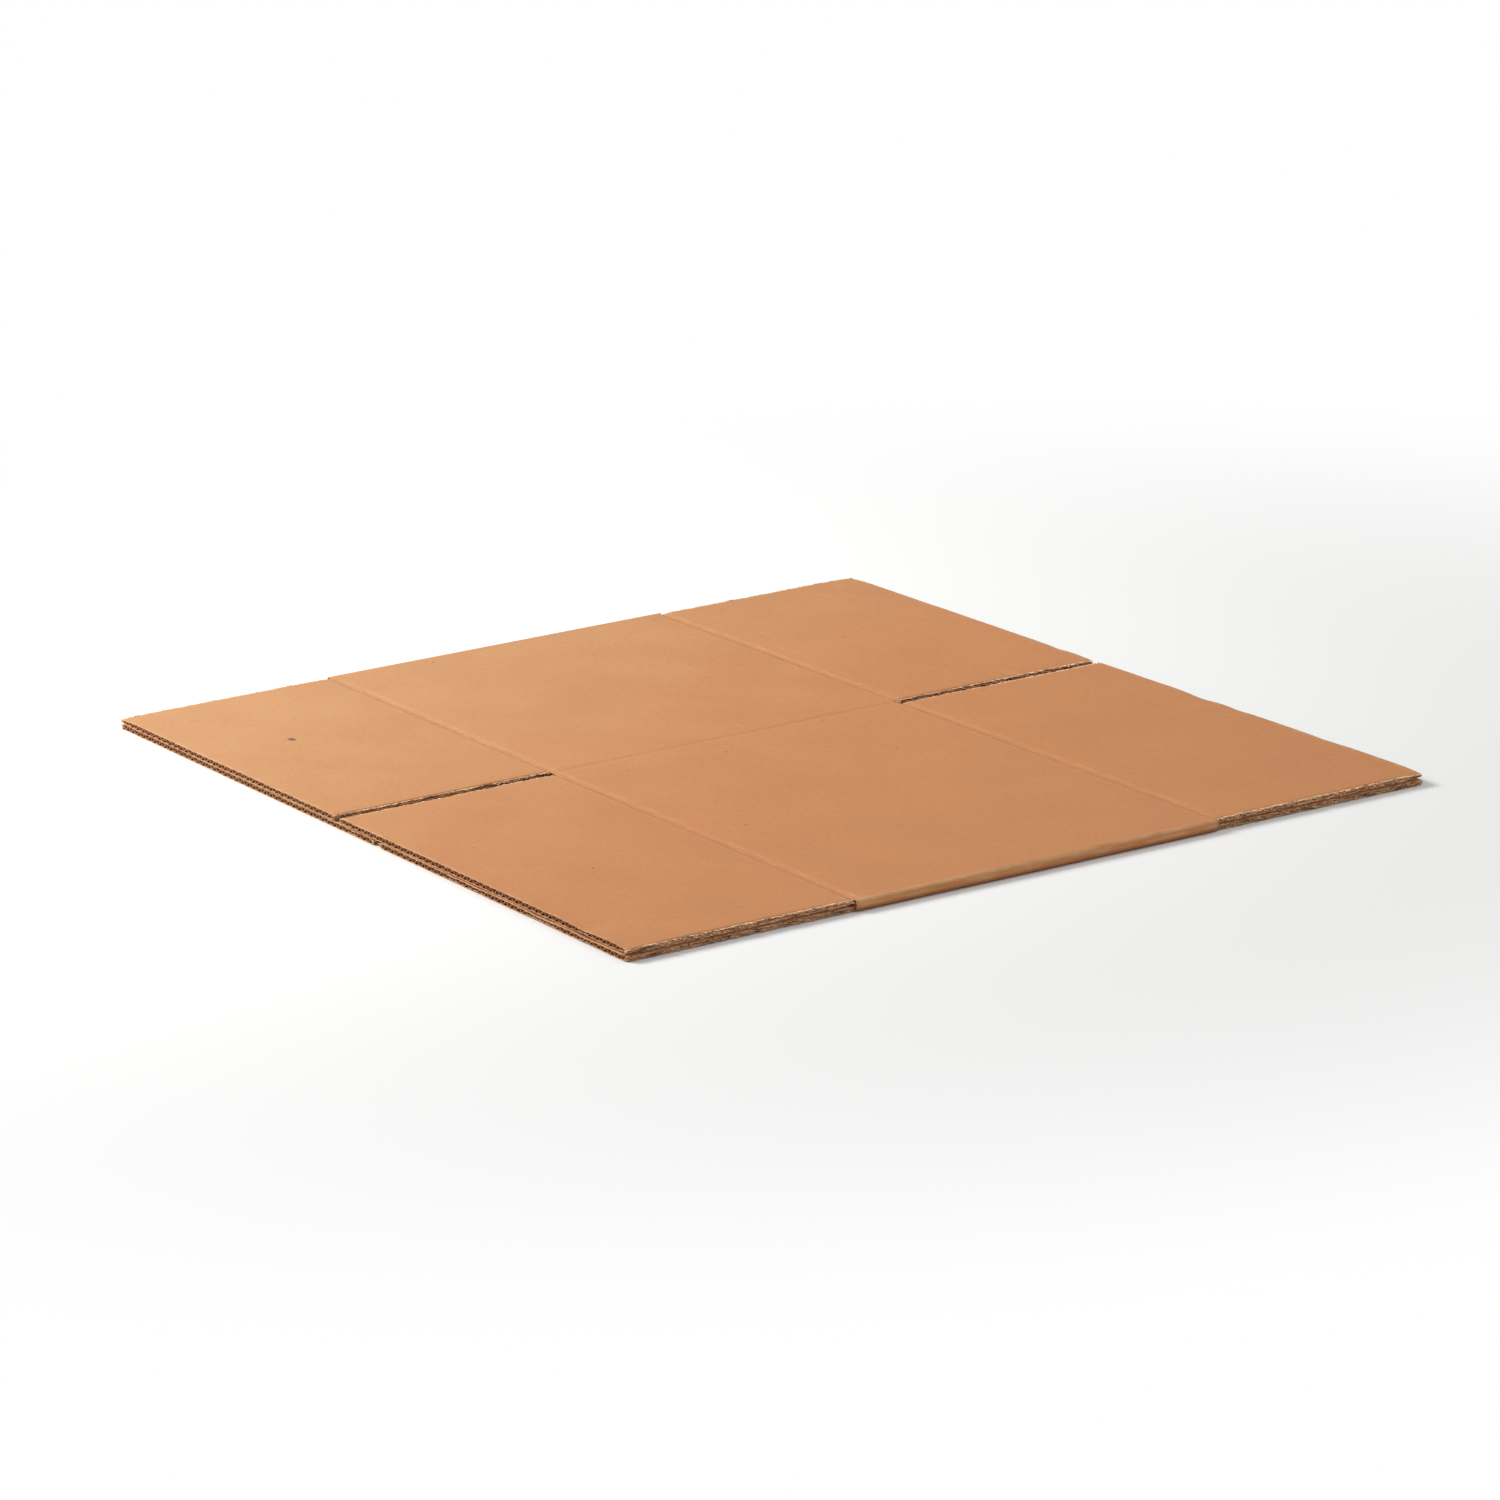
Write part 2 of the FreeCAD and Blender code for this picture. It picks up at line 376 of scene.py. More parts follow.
class Ribbon:
    """Columns round the folded section, from the joint's short panel to its long one."""

    SQUARENESS = 2 / 2.5
    FOLD_STEPS = 16
    INNER_CRUSH = 0.4
    DENT_LEVEL = -0.25
    DENT_WIDTH = 0.22
    DENT_CHANGE = 0.75
    UNDERCUT_LEVEL = -0.62
    UNDERCUT_WIDTH = 0.42
    END_PULL_REACH = 2.2 * MM
    USUAL_SAG = 0.30
    SAG_CHANGE = 0.28
    MOST_SAG = 0.8

    def __init__(self, step):
        self.x = []
        self.level = []
        self.reach = []
        self.side = []
        self.in_flaps = []
        size = sizes()
        cut = HALF_FLAT - size.slot_width / 2
        bend = HALF_FLAT - size.fold_reach
        slot = size.slot_width / 2
        gap = size.joint_gap / 2
        joint = joint_crease()
        crease = upper_crease()
        self.flat(LOWER, joint + gap, joint + slot, step, False)
        self.flat(LOWER, joint + slot, cut, step, True)
        self.flat(LOWER, cut, bend, step, False)
        self.fold(1)
        self.flat(UPPER, bend, cut, step, False)
        self.flat(UPPER, cut, crease + slot, step, True)
        self.flat(UPPER, crease + slot, crease - slot, step, False)
        self.flat(UPPER, crease - slot, -cut, step, True)
        self.flat(UPPER, -cut, -bend, step, False)
        self.fold(-1)
        self.flat(LOWER, -bend, -cut, step, False)
        self.flat(LOWER, -cut, joint - slot, step, True)
        self.flat(LOWER, joint - slot, joint - gap, step, False)
        self.x = np.array(self.x)
        self.level = np.array(self.level)
        self.reach = np.array(self.reach)
        self.side = np.array(self.side)
        middle_x, middle_z = self.section(size.board / 2)
        strides = np.hypot(np.diff(middle_x), np.diff(middle_z))
        self.travel = np.concatenate(([0.0], np.cumsum(strides)))

    def add(self, x, level, reach, side, in_flaps):
        """One column, with whether the board before it also runs through the flaps."""
        if self.x:
            self.in_flaps.append(in_flaps)
        self.x.append(x)
        self.level.append(level)
        self.reach.append(reach)
        self.side.append(side)

    def flat(self, layer, start, end, step, in_flaps):
        """Columns along one flat stretch of a layer."""
        places = stations(start, end, step)
        for x in places[1 if self.x else 0:]:
            self.add(x, layer, 0.0, 0.0, in_flaps)

    def fold(self, side):
        """Columns round one side fold, a squared half ring from one layer to the other."""
        for index in range(1, self.FOLD_STEPS):
            around = side * (index / self.FOLD_STEPS - 0.5) * math.pi
            level = math.copysign(abs(math.sin(around)) ** self.SQUARENESS, math.sin(around))
            reach = math.cos(around) ** self.SQUARENESS
            bend = side * (HALF_FLAT - sizes().fold_reach)
            self.add(bend, level, reach, side, False)

    def section(self, depth):
        """Each column's place in the section at a depth below the outer face."""
        reach = (sizes().fold_reach - self.INNER_CRUSH * depth) * self.reach
        return self.x + self.side * reach, THICKNESS / 2 + (THICKNESS / 2 - depth) * self.level

    def place(self, depth, y):
        """Each column's place in the box at a depth and a distance along the flutes."""
        board = sizes().board
        x_flat, _ = self.section(0.0)
        pressed = pinch(x_flat, y, np.sign(self.level)) * (self.reach == 0)
        pressed_depth = board / 2 + (depth - board / 2) * (1 - pressed)
        sunk = TAB_SINK / board * tab_mask(x_flat, y) * (self.level <= -1)
        x, z = self.section(pressed_depth * (1 - sunk))
        return x - self.side * self.draw_in(depth, y), z - self.sag(x_flat, y)

    def sag(self, x, y):
        """How far the upper layer sinks into the air between the layers."""
        slack = THICKNESS - 2 * sizes().board
        share = self.USUAL_SAG + self.SAG_CHANGE * unevenness(x, y, SAG)
        sag = slack * share * np.maximum(self.level, 0)
        return np.clip(sag, 0.0, self.MOST_SAG * slack)

    def draw_in(self, depth, y):
        """How far a side fold lies in from its full reach: dented, wavering and undercut."""
        worn = wear()
        outer_share = 1 - np.clip(depth / sizes().board, 0, 1)
        dent = worn.fold_dent * (1 + self.DENT_CHANGE * unevenness(y, self.side, FOLD_WAVER))
        dent = dent * bump(self.level - self.DENT_LEVEL, self.DENT_WIDTH) * outer_share
        waver = worn.fold_waver * abs(1 + unevenness(y + 0.02 * self.level, self.side, FOLD_WAVER))
        undercut = bump(self.level - self.UNDERCUT_LEVEL, self.UNDERCUT_WIDTH) * worn.fold_undercut
        at_end = bump(half_height() - abs(y), self.END_PULL_REACH)
        at_end = at_end * (abs(y) <= half_height() + PAST_SCORE)
        return dent + (waver + undercut + worn.fold_end_pull * at_end) * self.reach


def rows(coarse):
    """Stations along the flutes, close together at the scores and the free edges."""
    score = half_height()
    positive = np.concatenate((
        stations(0.0, score - SCORE_BAND, coarse),
        stations(score - SCORE_BAND, score, FINE_STEP)[1:],
        stations(score, score + SCORE_BAND, FINE_STEP)[1:],
        stations(score + SCORE_BAND, HALF_BLANK - END_BAND, coarse)[1:],
        stations(HALF_BLANK - END_BAND, HALF_BLANK, FINE_STEP)[1:],
    ))
    return np.concatenate((-positive[:0:-1], positive))


def skew(x, y, level):
    """How far a flap ends short of the blank's end, because the folds are a little askew."""
    past_score = np.clip((abs(y) - half_height()) / (HALF_BLANK - half_height()), 0, 1)
    share = 0.5 + 0.5 * x / HALF_FLAT * math.copysign(1, -y)
    return wear().flap_skew * past_score * np.where(level > 0, share, LOWER_SKEW * (1 - share))


def ribbon_mesh(name, ribbon, depth, places):
    """The mesh of one paper that runs round the section, depth given for each column."""
    count = len(ribbon.x)
    points = np.empty((len(places), count, 3))
    for index, y in enumerate(places):
        x, z = ribbon.place(depth, y)
        at_end = bump(HALF_BLANK - abs(y), RAGGED_REACH)
        ragged = unevenness(x, 0.1 * ribbon.level, EDGE_WAVER) * at_end
        end = wear().ragged_end * np.abs(ragged) + skew(x, y, ribbon.level)
        points[index, :, 0] = x
        points[index, :, 1] = y - math.copysign(1, y) * end
        points[index, :, 2] = z
    faces = []
    in_flaps = ribbon.in_flaps
    for row in range(len(places) - 1):
        flap = abs(places[row] + places[row + 1]) / 2 > half_height()
        start = row * count
        for column in range(count - 1):
            if flap and not in_flaps[column]:
                continue
            corner = start + column
            faces.append((corner, corner + count, corner + count + 1, corner + 1))
    used = np.unique(np.array(faces))
    renumber = np.full(len(places) * count, -1)
    renumber[used] = np.arange(len(used))
    mesh = bpy.data.meshes.new(name)
    mesh.from_pydata(points.reshape(-1, 3)[used].tolist(), [], renumber[np.array(faces)].tolist())
    mesh.validate()
    return mesh


def add_piece(name, mesh, material, thickness, offset=-1.0, smooth=True, edge=None):
    """One piece of the dressed box, riding with the solid it stands for."""
    piece = bpy.data.objects.new(name, mesh)
    bpy.context.collection.objects.link(piece)
    mesh.materials.append(material)
    mesh.polygons.foreach_set("use_smooth", [smooth] * len(mesh.polygons))
    sheet = piece.modifiers.new("Paper thickness", "SOLIDIFY")
    sheet.thickness = thickness
    sheet.offset = offset
    if edge:
        mesh.materials.append(edge)
        sheet.material_offset_rim = 1
    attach(piece, BODY)
    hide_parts(NODE)


# Finishes


class Graph:
    """Short ways to write a material's nodes."""

    def __init__(self, name):
        self.material = bpy.data.materials.new(name)
        self.material.use_nodes = True
        self.tree = self.material.node_tree
        self.tree.nodes.clear()
        self.place = self.add("ShaderNodeTexCoord").outputs["Object"]
        axes = self.add("ShaderNodeSeparateXYZ", {"Vector": self.place})
        self.x, self.y, self.z = axes.outputs

    def add(self, kind, inputs=None, **settings):
        """A new node with its inputs fed and its settings made."""
        item = self.tree.nodes.new(kind)
        for key, value in settings.items():
            setattr(item, key, value)
        for key, value in (inputs or {}).items():
            self.feed(item.inputs[key], value)
        return item

    def feed(self, socket, value):
        """Links a socket, or gives it a fixed value."""
        if isinstance(value, bpy.types.NodeSocket):
            self.tree.links.new(value, socket)
        else:
            socket.default_value = value

    def math(self, operation, first, second=0.0, third=0.0):
        """One sum on up to three values."""
        item = self.add("ShaderNodeMath", {0: first, 1: second, 2: third}, operation=operation)
        return item.outputs[0]

    def scaled(self, size):
        """The place stretched, so that a texture's grain has these sizes along X, Y and Z."""
        scale = tuple(1 / value for value in size)
        return self.add("ShaderNodeMapping", {"Vector": self.place, "Scale": scale}).outputs[0]

    def noise(self, size, detail=3.0, roughness=0.55, distortion=0.0):
        """Noise from 0 to 1, with a grain of this size."""
        inputs = {
            "Vector": self.scaled(size),
            "Scale": 1.0,
            "Detail": detail,
            "Roughness": roughness,
            "Distortion": distortion,
        }
        return self.add("ShaderNodeTexNoise", inputs).outputs[0]

    def ramp(self, value, low, high, to_low=0.0, to_high=1.0):
        """The value eased from one range to another."""
        inputs = {"Value": value, "From Min": low, "From Max": high, "To Min": to_low, "To Max": to_high}
        return self.add("ShaderNodeMapRange", inputs, interpolation_type="SMOOTHSTEP").outputs[0]

    def blend(self, share, first, second):
        """Two colours mixed."""
        item = self.add("ShaderNodeMix", data_type="RGBA")
        self.feed(item.inputs[0], share)
        for socket, value in ((item.inputs[6], first), (item.inputs[7], second)):
            if not isinstance(value, bpy.types.NodeSocket):
                value = (*value, 1.0)
            self.feed(socket, value)
        return item.outputs[2]

    def both(self, first, second):
        """Where two masks meet."""
        return self.math("MULTIPLY", first, second)

    def tint(self, base, mask, strength, shade):
        """The base tinted where the mask is, up to a strength."""
        return self.blend(self.both(mask, strength), base, shade)

    def specks(self, cell, radius, share):
        """Small spots, one in some of the cells of a grid."""
        place = self.scaled((cell, cell, cell))
        cells = self.add("ShaderNodeTexVoronoi", {"Vector": place, "Scale": 1.0})
        spot = self.ramp(cells.outputs["Distance"], radius, radius * 0.5)
        chosen = self.add("ShaderNodeSeparateColor", {"Color": cells.outputs["Color"]}).outputs[0]
        return self.both(spot, self.math("LESS_THAN", chosen, share))

    def surface(self, base, roughness, height, bump_depth, bump_strength=1.0):
        """The shader, with its bump, joined to the output."""
        relief = self.add(
            "ShaderNodeBump", {"Height": height, "Distance": bump_depth, "Strength": bump_strength}
        )
        shader = self.add("ShaderNodeBsdfPrincipled", {"Base Color": base, "Normal": relief.outputs[0]})
        self.feed(shader.inputs["Roughness"], roughness)
        shader.inputs["Specular IOR Level"].default_value = PAPER_SHINE
        shader.inputs["Sheen Weight"].default_value = PAPER_FUZZ
        shader.inputs["Sheen Roughness"].default_value = PAPER_FUZZ_SPREAD
        output = self.add("ShaderNodeOutputMaterial")
        self.tree.links.new(shader.outputs[0], output.inputs[0])
        return self.material


def kraft_tone(graph, tone, mottle, fibres):
    """The paper's colour: paler towards one corner, cloudy, mottled and streaked with fibres, with faint
    painted shade along the flutes.
    """
    clouds = graph.noise((0.075, 0.055, 0.05), detail=4.0)
    across = graph.math("MULTIPLY_ADD", graph.y, 0.6, graph.x)
    across = graph.math("MULTIPLY_ADD", clouds, 0.20, across)
    base = graph.blend(graph.ramp(across, 0.18, -0.34), tone.kraft, tone.kraft_pale)
    base = graph.blend(graph.ramp(clouds, 0.30, 0.72, 0.0, 0.16), base, tone.kraft_dark)
    base = graph.blend(graph.ramp(mottle, 0.35, 0.75, 0.0, 0.24), base, tone.kraft_dark)
    base = graph.blend(graph.ramp(fibres, 0.55, 0.80, 0.0, 0.30), base, tone.kraft_light)
    base = graph.blend(graph.ramp(fibres, 0.42, 0.22, 0.0, 0.26), base, tone.kraft_dark)
    # Painted shade: faint darker lines along the flutes, one to each flute pitch
    turns = graph.math("MULTIPLY", graph.x, 2 * math.pi / sizes().flute_pitch)
    flute_shade = graph.math("MULTIPLY_ADD", graph.math("SINE", turns), 0.5, 0.5)
    return graph.tint(base, flute_shade, 0.055, tone.kraft_dark)


def pressed_lines(graph, tone, base):
    """Dark broken lines in the flap scores, with pale rims."""
    waver = graph.math("MULTIPLY_ADD", graph.noise((0.02, 0.02, 0.02)), 1.6 * MM, -0.8 * MM)
    to_score = graph.math("SUBTRACT", graph.math("ABSOLUTE", graph.y), half_height())
    to_score = graph.math("ABSOLUTE", graph.math("ADD", to_score, waver))
    broken = graph.noise((0.009, 0.0016, 0.01), detail=4.0)
    pressed = graph.both(graph.ramp(to_score, 3.4 * MM, 0.6 * MM), graph.ramp(broken, 0.30, 0.62))
    base = graph.tint(base, pressed, 0.42, tone.kraft_dark)
    rim = graph.math("ABSOLUTE", graph.math("SUBTRACT", to_score, 4.0 * MM))
    rim = graph.both(graph.ramp(rim, 1.8 * MM, 0.0), graph.ramp(broken, 0.62, 0.36))
    return graph.tint(base, rim, 0.30, tone.kraft_light)


def edge_wear_and_painted_fold_shading(graph, tone, base):
    """Scuffed edges, and side folds with a painted highlight along the ridge, painted shade on their
    lower half and a painted shadow line along their bottom.
    """
    to_end = graph.math("SUBTRACT", HALF_BLANK, graph.math("ABSOLUTE", graph.y))
    to_side = graph.math("SUBTRACT", HALF_FLAT, graph.math("ABSOLUTE", graph.x))
    to_edge = graph.math("MINIMUM", to_end, to_side)
    patches = graph.noise((0.011, 0.026, 0.0024), detail=5.0, roughness=0.7)
    scuff = graph.both(graph.ramp(to_edge, 5.0 * MM, 0.0), graph.ramp(patches, 0.44, 0.60))
    base = graph.tint(base, scuff, 0.50, tone.kraft_light)
    on_fold = graph.ramp(to_side, 3.6 * MM, 2.6 * MM)
    # Painted shade: the side folds darker on their lower half, and a painted shadow line along their
    # bottom edge
    fold_lower_shade = graph.both(graph.ramp(graph.z, 3.4 * MM, 2.0 * MM), on_fold)
    base = graph.tint(base, fold_lower_shade, 0.60, tone.kraft_dark)
    fold_bottom_shadow = graph.both(graph.ramp(graph.z, 1.9 * MM, 0.7 * MM), on_fold)
    base = graph.tint(base, fold_bottom_shadow, 0.45, tone.speck)
    # Painted highlight along the ridge of each side fold, broken up by noise
    ridge_highlight = graph.math("ABSOLUTE", graph.math("SUBTRACT", graph.z, 6.9 * MM))
    ridge_highlight = graph.both(graph.ramp(ridge_highlight, 1.1 * MM, 0.2 * MM), graph.ramp(to_side, 4.0 * MM, 3.0 * MM))
    highlight_strength = graph.ramp(graph.noise((0.02, 0.016, 0.02), detail=4.0), 0.28, 0.60, 0.25, 0.80)
    base = graph.tint(base, ridge_highlight, highlight_strength, tone.kraft_light)
    streaks = graph.ramp(graph.noise((0.05, 0.007, 0.02), detail=6.0, roughness=0.7), 0.60, 0.72)
    return graph.tint(base, streaks, 0.20, tone.kraft_light)


def dirt(graph, tone, base):
    """Fine dark specks, a few larger ones, and the one dark spot."""
    base = graph.tint(base, graph.specks(0.0052, 0.10, 0.55), 0.55, tone.speck)
    base = graph.tint(base, graph.specks(0.021, 0.05, 0.35), 0.85, tone.speck)
    spot = graph.add("ShaderNodeVectorMath", {0: graph.place, 1: SPOT}, operation="SUBTRACT")
    spot = graph.add(
        "ShaderNodeVectorMath", {0: spot.outputs[0], 1: SPOT_SHAPE}, operation="MULTIPLY"
    )
    spot = graph.add("ShaderNodeVectorMath", {0: spot.outputs[0]}, operation="LENGTH")
    rough = graph.noise((0.0018, 0.0014, 0.002))
    ragged = graph.math("MULTIPLY_ADD", rough, 2.4 * MM, spot.outputs["Value"])
    return graph.blend(graph.ramp(ragged, 4.4 * MM, 2.5 * MM, 0.0, 0.85), base, tone.speck)


def kraft_facing():
    """Machine-finished kraft paper: mottled, with long fibres across the flutes, specks and scuffs."""
    tone = finish()
    graph = Graph("Kraft facing")
    mottle = graph.noise((0.0034, 0.0021, 0.003), detail=5.0, roughness=0.65)
    fibres = graph.noise((0.0042, 0.00042, 0.0006), detail=3.0, roughness=0.6, distortion=0.6)
    grain = graph.noise((0.0008, 0.0005, 0.0005), detail=2.0)
    base = kraft_tone(graph, tone, mottle, fibres)
    base = pressed_lines(graph, tone, base)
    base = edge_wear_and_painted_fold_shading(graph, tone, base)
    base = dirt(graph, tone, base)
    hairs = graph.noise((0.0030, 0.00022, 0.0004), detail=1.0, distortion=1.8)
    base = graph.blend(graph.ramp(hairs, 0.70, 0.80, 0.0, 0.45), base, tone.kraft_light)
    height = graph.math("MULTIPLY_ADD", fibres, 0.6, graph.math("MULTIPLY", grain, 0.4))
    height = graph.math("MULTIPLY_ADD", mottle, 0.35, height)
    roughness = graph.ramp(mottle, 0.3, 0.7, 0.58, 0.78)
    return graph.surface(base, roughness, height, 0.06 * MM, 0.8)


def cut_paper():
    """Pale, slightly fuzzy paper where the knife went through."""
    tone = finish()
    graph = Graph("Cut paper")
    fuzz = graph.noise((0.0016, 0.0016, 0.0005), detail=4.0, roughness=0.7)
    dull = graph.noise((0.018, 0.018, 0.004), detail=3.0)
    base = graph.blend(graph.ramp(fuzz, 0.35, 0.70), tone.cut, tone.kraft)
    base = graph.blend(graph.ramp(dull, 0.45, 0.70, 0.0, 0.6), base, tone.kraft_dark)
    return graph.surface(base, graph.ramp(fuzz, 0.3, 0.7, 0.85, 0.98), fuzz, 0.08 * MM, 0.8)


def fluted_paper():
    """Rougher, darker recycled paper."""
    tone = finish()
    graph = Graph("Fluted paper")
    mottle = graph.noise((0.003, 0.003, 0.002), detail=5.0, roughness=0.7)
    fibres = graph.noise((0.0004, 0.003, 0.0004), detail=3.0)
    base = graph.blend(graph.ramp(mottle, 0.35, 0.70), tone.core, tone.kraft_dark)
    base = graph.blend(graph.ramp(fibres, 0.52, 0.75, 0.0, 0.5), base, tone.kraft_light)
    base = graph.blend(graph.specks(0.0035, 0.14, 0.5), base, tone.speck)
    return graph.surface(base, graph.ramp(mottle, 0.3, 0.7, 0.82, 0.95), fibres, 0.10 * MM, 0.8)


def torn_paper():
    """Fuzzy fibres where the slots' blunt knives have pulled the papers apart."""
    tone = finish()
    graph = Graph("Torn paper")
    tufts = graph.noise((0.0020, 0.0050, 0.0006), detail=5.0, roughness=0.75)
    soil = graph.noise((0.02, 0.012, 0.0025), detail=4.0, roughness=0.7)
    base = graph.blend(graph.ramp(tufts, 0.45, 0.58, 0.0, 0.85), tone.torn, tone.kraft_dark)
    base = graph.blend(graph.ramp(soil, 0.54, 0.61, 0.0, 0.65), base, tone.speck)
    base = graph.blend(graph.ramp(tufts, 0.62, 0.72, 0.0, 0.7), base, tone.torn)
    return graph.surface(base, graph.ramp(tufts, 0.3, 0.7, 0.85, 0.98), tufts, 0.20 * MM, 1.0)


# Pieces


def torn_mesh(name):
    """Ragged strips of facing and core left along the slots' cut edges."""
    draw = np.random.default_rng(31)
    points = []
    faces = []
    slot = sizes().slot_width / 2
    cut = HALF_FLAT - slot
    edges = []
    for layer, crease in ((UPPER, upper_crease()), (LOWER, joint_crease())):
        edges.append((layer, cut, 1.0))
        edges.append((layer, -cut, -1.0))
        edges.append((layer, crease - slot, 1.0))
        edges.append((layer, crease + slot, -1.0))
    for edge in edges:
        for end in (-1, 1):
            for level, looseness in TORN_PAPERS:
                add_strip(points, faces, draw, edge, end, level * MM, looseness * MM)
    mesh = bpy.data.meshes.new(name)
    mesh.from_pydata(points, [], faces)
    mesh.validate()
    return mesh


def add_strip(points, faces, draw, edge, end, level, looseness):
    """One torn strip along one slot, from its root in the board to its ragged free side."""
    layer, edge_x, outward = edge
    worn = wear()
    board = sizes().board
    along = stations(half_height() + TORN_FROM_SCORE, HALF_BLANK - TORN_FROM_END, FINE_STEP)
    count = len(along)
    first = len(points)
    shreds = np.abs(draw.normal(0, 1, count))
    smooth = np.convolve(np.abs(draw.normal(0, 1, count)), np.ones(7) / 7, "same")
    reach = np.minimum((shreds + smooth) * worn.torn_reach, worn.torn_longest)
    drop = np.convolve(draw.normal(0, 1, count), np.ones(3) / 3, "same")
    drop = drop * looseness * TORN_LOOSENESS
    squeeze = 1 - pinch(np.full(count, edge_x), end * along, np.full(count, layer))
    for index, distance in enumerate(along):
        steps = ((-TORN_ROOT, 0.0), (0.0, 0.35), (reach[index] * 0.6, 0.8), (reach[index], 1.0))
        for out, share in steps:
            curl = layer * TORN_CURL * looseness * share * out / TORN_CURL_LENGTH
            depth = level + drop[index] * share + curl
            depth = float(np.clip(depth, TORN_MARGIN, board - TORN_MARGIN))
            depth = board / 2 + (depth - board / 2) * squeeze[index]
            z = depth if layer < 0 else THICKNESS - depth - TORN_DROP
            points.append((edge_x + outward * out, end * distance, z))
    width = len(steps)
    for index in range(count - 1):
        if draw.uniform() < TORN_GAP_CHANCE:
            continue
        for step in range(width - 1):
            corner = first + index * width + step
            faces.append((corner, corner + 1, corner + width + 1, corner + width))


def tab_mesh(name):
    """The glue tab, pressed flat between the layers, with its ends cut at a slant."""
    size = sizes()
    root = joint_crease() - size.joint_gap / 2 - size.tab_root
    across = stations(root, joint_crease() + size.tab_length, size.flute_pitch / 6)
    top = size.board + TAB_RISE
    points = []
    faces = []
    for share in np.linspace(-1, 1, TAB_ROWS):
        for x in across:
            past = max(0.0, (x - joint_crease()) / size.tab_length)
            half = half_height() - size.tab_setback - size.tab_taper * past
            ripple = TAB_RIPPLE * math.cos(2 * math.pi * x / size.flute_pitch)
            points.append((x, share * half, top + ripple))
    width = len(across)
    for row in range(TAB_ROWS - 1):
        for column in range(width - 1):
            corner = row * width + column
            faces.append((corner, corner + 1, corner + width + 1, corner + width))
    mesh = bpy.data.meshes.new(name)
    mesh.from_pydata(points, [], faces)
    return mesh


class BOX_OT_outer_facing(Operator):
    """Lays the outer kraft facing round both layers, with its scores, creases and folds"""

    bl_idname = "flat_box.outer_facing"
    bl_label = "Outer Facing"

    def execute(self, context):
        size = sizes()
        ribbon = Ribbon(size.flute_pitch / 5)
        dip = size.washboard * (0.5 - 0.5 * np.cos(2 * math.pi * ribbon.travel / size.flute_pitch))
        mesh = ribbon_mesh("outer_facing", ribbon, dip * (ribbon.reach == 0), rows(FACING_STEP))
        add_piece("outer_facing", mesh, kraft_facing(), size.facing, edge=cut_paper())
        return {"FINISHED"}


class BOX_OT_fluted_paper(Operator):
    """Lays the waved paper between the facings of both layers"""

    bl_idname = "flat_box.fluted_paper"
    bl_label = "Fluted Paper"

    def execute(self, context):
        size = sizes()
        ribbon = Ribbon(size.flute_pitch / 12)
        swing = size.board / 2 - size.facing - size.fluted_paper / 2
        swing = swing * np.where(ribbon.reach > 0, FOLDED_FLUTES, 1.0)
        wave = np.cos(2 * math.pi * ribbon.travel / size.flute_pitch)
        squared = np.tanh(FLUTE_SQUARENESS * wave) / math.tanh(FLUTE_SQUARENESS)
        depth = size.board / 2 - swing * squared
        mesh = ribbon_mesh("fluted_paper", ribbon, depth, rows(FLUTED_STEP)[::2])
        cut = bpy.data.materials["Cut paper"]
        add_piece("fluted_paper", mesh, fluted_paper(), size.fluted_paper, offset=0.0, edge=cut)
        return {"FINISHED"}


class BOX_OT_inner_facing(Operator):
    """Lays the inner facing, which lines the space between the two layers"""

    bl_idname = "flat_box.inner_facing"
    bl_label = "Inner Facing"

    def execute(self, context):
        size = sizes()
        ribbon = Ribbon(size.flute_pitch / 2)
        depth = np.full(len(ribbon.x), size.board - size.facing)
        mesh = ribbon_mesh("inner_facing", ribbon, depth, rows(FACING_STEP))
        kraft, cut = (bpy.data.materials[name] for name in ("Kraft facing", "Cut paper"))
        add_piece("inner_facing", mesh, kraft, size.facing, edge=cut)
        return {"FINISHED"}


class BOX_OT_glue_tab(Operator):
    """Presses the glue tab between the layers at the maker's joint"""

    bl_idname = "flat_box.glue_tab"
    bl_label = "Glue Tab"

    def execute(self, context):
        mesh = tab_mesh("glue_tab")
        add_piece("glue_tab", mesh, bpy.data.materials["Kraft facing"], sizes().tab_thickness)
        return {"FINISHED"}


class BOX_OT_torn_edges(Operator):
    """Adds the torn fibres along the slots"""

    bl_idname = "flat_box.torn_edges"
    bl_label = "Torn Slot Edges"

    def execute(self, context):
        mesh = torn_mesh("torn_edges")
        add_piece("torn_edges", mesh, torn_paper(), TORN_THICKNESS, offset=0.0, smooth=False)
        return {"FINISHED"}


def floor_material():
    """A plain pale floor that keeps the box's shadow and turns white further away."""
    tone = bpy.context.scene.box_stage
    graph = Graph("Pale floor")
    plain = graph.add("ShaderNodeBsdfDiffuse", {"Color": (*tone.floor, 1.0)}).outputs[0]
    white = graph.add("ShaderNodeEmission", {"Strength": 1.0}).outputs[0]
    from_middle = graph.add("ShaderNodeVectorMath", {0: graph.place}, operation="LENGTH")
    away = graph.ramp(from_middle.outputs["Value"], SHADOW_REACH, WHITE_FROM)
    path = graph.add("ShaderNodeLightPath").outputs
    seen = graph.math("MAXIMUM", path["Is Camera Ray"], path["Is Glossy Ray"])
    seen = graph.math("MAXIMUM", seen, path["Is Transmission Ray"])
    share = graph.math("MULTIPLY", away, seen)
    shader = graph.add("ShaderNodeMixShader", {0: share, 1: plain, 2: white})
    output = graph.add("ShaderNodeOutputMaterial")
    graph.tree.links.new(shader.outputs[0], output.inputs[0])
    return graph.material


def add_floor():
    """A wide round floor under the box."""
    build = bmesh.new()
    bmesh.ops.create_circle(build, cap_ends=True, segments=FLOOR_SIDES, radius=FLOOR_RADIUS)
    mesh = bpy.data.meshes.new("floor")
    build.to_mesh(mesh)
    build.free()
    mesh.materials.append(floor_material())
    floor = bpy.data.objects.new("floor", mesh)
    floor.location.z = LOWEST.z - FLOOR_DROP
    bpy.context.collection.objects.link(floor)


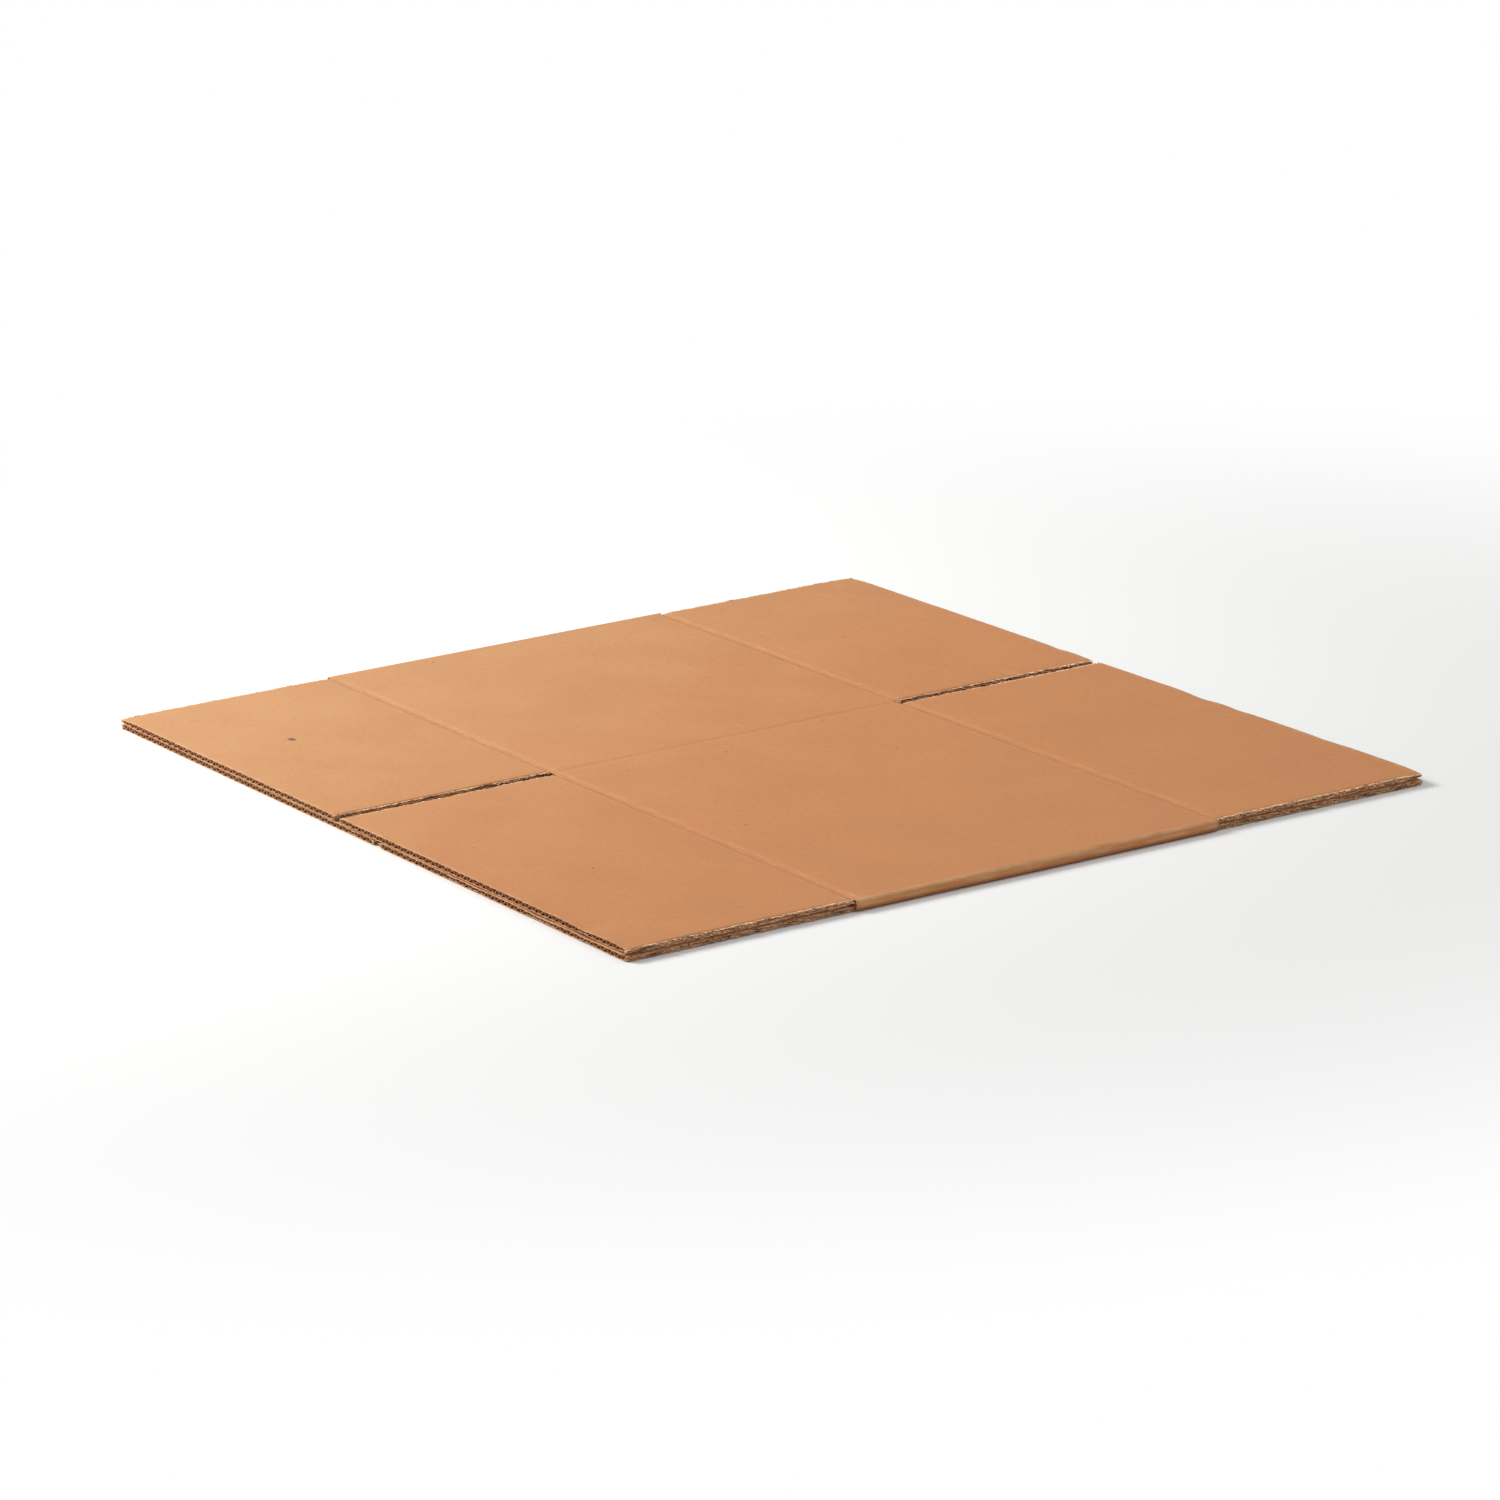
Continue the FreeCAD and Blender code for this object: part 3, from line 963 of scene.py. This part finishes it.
def add_lamp(name, stand, target, energy):
    """A square soft lamp that faces the target."""
    place, width = stand
    lamp = bpy.data.lights.new(name, "AREA")
    lamp.shape = "SQUARE"
    lamp.size = width
    lamp.energy = energy
    holder = bpy.data.objects.new(name, lamp)
    holder.location = place
    holder.rotation_euler = (target - place).to_track_quat("-Z", "Y").to_euler()
    bpy.context.collection.objects.link(holder)


def add_sky(strength):
    """Even pale surroundings."""
    world = bpy.data.worlds.new("Surroundings")
    bpy.context.scene.world = world
    world.use_nodes = True
    background = world.node_tree.nodes["Background"]
    background.inputs["Color"].default_value = (1.0, 1.0, 1.0, 1.0)
    path = world.node_tree.nodes.new("ShaderNodeLightPath")
    level = world.node_tree.nodes.new("ShaderNodeMapRange")
    level.inputs["To Min"].default_value = strength
    level.inputs["To Max"].default_value = 1.0
    world.node_tree.links.new(path.outputs["Is Camera Ray"], level.inputs["Value"])
    world.node_tree.links.new(level.outputs[0], background.inputs["Strength"])


def add_camera(stage, target):
    """The camera, low and from one side, as it looks along the near free edges."""
    data = bpy.data.cameras.new("Camera")
    data.lens = stage.lens
    data.sensor_width = SENSOR_WIDTH
    data.clip_end = FURTHEST_SEEN
    turn, height = stage.azimuth, stage.elevation
    back = Vector((
        math.sin(turn) * math.cos(height),
        -math.cos(turn) * math.cos(height),
        math.sin(height),
    ))
    right = Vector((math.cos(turn), math.sin(turn), 0.0))
    up = back.cross(right)
    tilt = stage.roll
    rolled_right = math.cos(tilt) * right + math.sin(tilt) * up
    rolled_up = math.cos(tilt) * up - math.sin(tilt) * right
    camera = bpy.data.objects.new("Camera", data)
    turned = Matrix((rolled_right, rolled_up, back)).transposed().to_4x4()
    camera.matrix_world = Matrix.Translation(target + back * stage.distance) @ turned
    bpy.context.collection.objects.link(camera)
    bpy.context.scene.camera = camera


class BOX_OT_stage(Operator):
    """Sets the pale floor, the soft lamps and the camera"""

    bl_idname = "flat_box.stage"
    bl_label = "Studio Stage"

    def execute(self, context):
        stage = context.scene.box_stage
        target = Vector((0.0, 0.0, THICKNESS / 2))
        add_floor()
        add_lamp("Key lamp", KEY_LAMP, target, stage.key_power)
        add_lamp("Fill lamp", FILL_LAMP, target, stage.fill_power)
        add_lamp("Side lamp", SIDE_LAMP, target, stage.side_power)
        add_sky(stage.sky)
        add_camera(stage, target)
        context.scene.view_settings.view_transform = "Standard"
        return {"FINISHED"}


OPERATORS = (
    BOX_OT_outer_facing,
    BOX_OT_fluted_paper,
    BOX_OT_inner_facing,
    BOX_OT_glue_tab,
    BOX_OT_torn_edges,
    BOX_OT_stage,
)


class BOX_PT_panel(Panel):
    """Lists the box's pieces and settings"""

    bl_idname = "BOX_PT_panel"
    bl_label = "Flattened Box"
    bl_space_type = "VIEW_3D"
    bl_region_type = "UI"
    bl_category = "Flat Box"

    def draw(self, context):
        for operator in OPERATORS:
            self.layout.operator(operator.bl_idname)
        scene = context.scene
        for group in (scene.box_sizes, scene.box_wear, scene.box_finish, scene.box_stage):
            column = self.layout.column()
            for name in group.__annotations__:
                column.prop(group, name)


CLASSES = (BoxSizes, BoxWear, BoxFinish, StageSettings, *OPERATORS, BOX_PT_panel)


def register():
    """Makes the settings and operators known."""
    for item in CLASSES:
        bpy.utils.register_class(item)
    bpy.types.Scene.box_sizes = PointerProperty(type=BoxSizes)
    bpy.types.Scene.box_wear = PointerProperty(type=BoxWear)
    bpy.types.Scene.box_finish = PointerProperty(type=BoxFinish)
    bpy.types.Scene.box_stage = PointerProperty(type=StageSettings)


def unregister():
    """Takes the settings and operators away again."""
    del bpy.types.Scene.box_stage
    del bpy.types.Scene.box_finish
    del bpy.types.Scene.box_wear
    del bpy.types.Scene.box_sizes
    for item in reversed(CLASSES):
        bpy.utils.unregister_class(item)


def main():
    """Builds the dressed box and its stage."""
    register()
    bpy.ops.flat_box.outer_facing()
    bpy.ops.flat_box.fluted_paper()
    bpy.ops.flat_box.inner_facing()
    bpy.ops.flat_box.glue_tab()
    bpy.ops.flat_box.torn_edges()
    bpy.ops.flat_box.stage()
    bpy.context.view_layer.update()


if __name__ == "__main__":
    main()
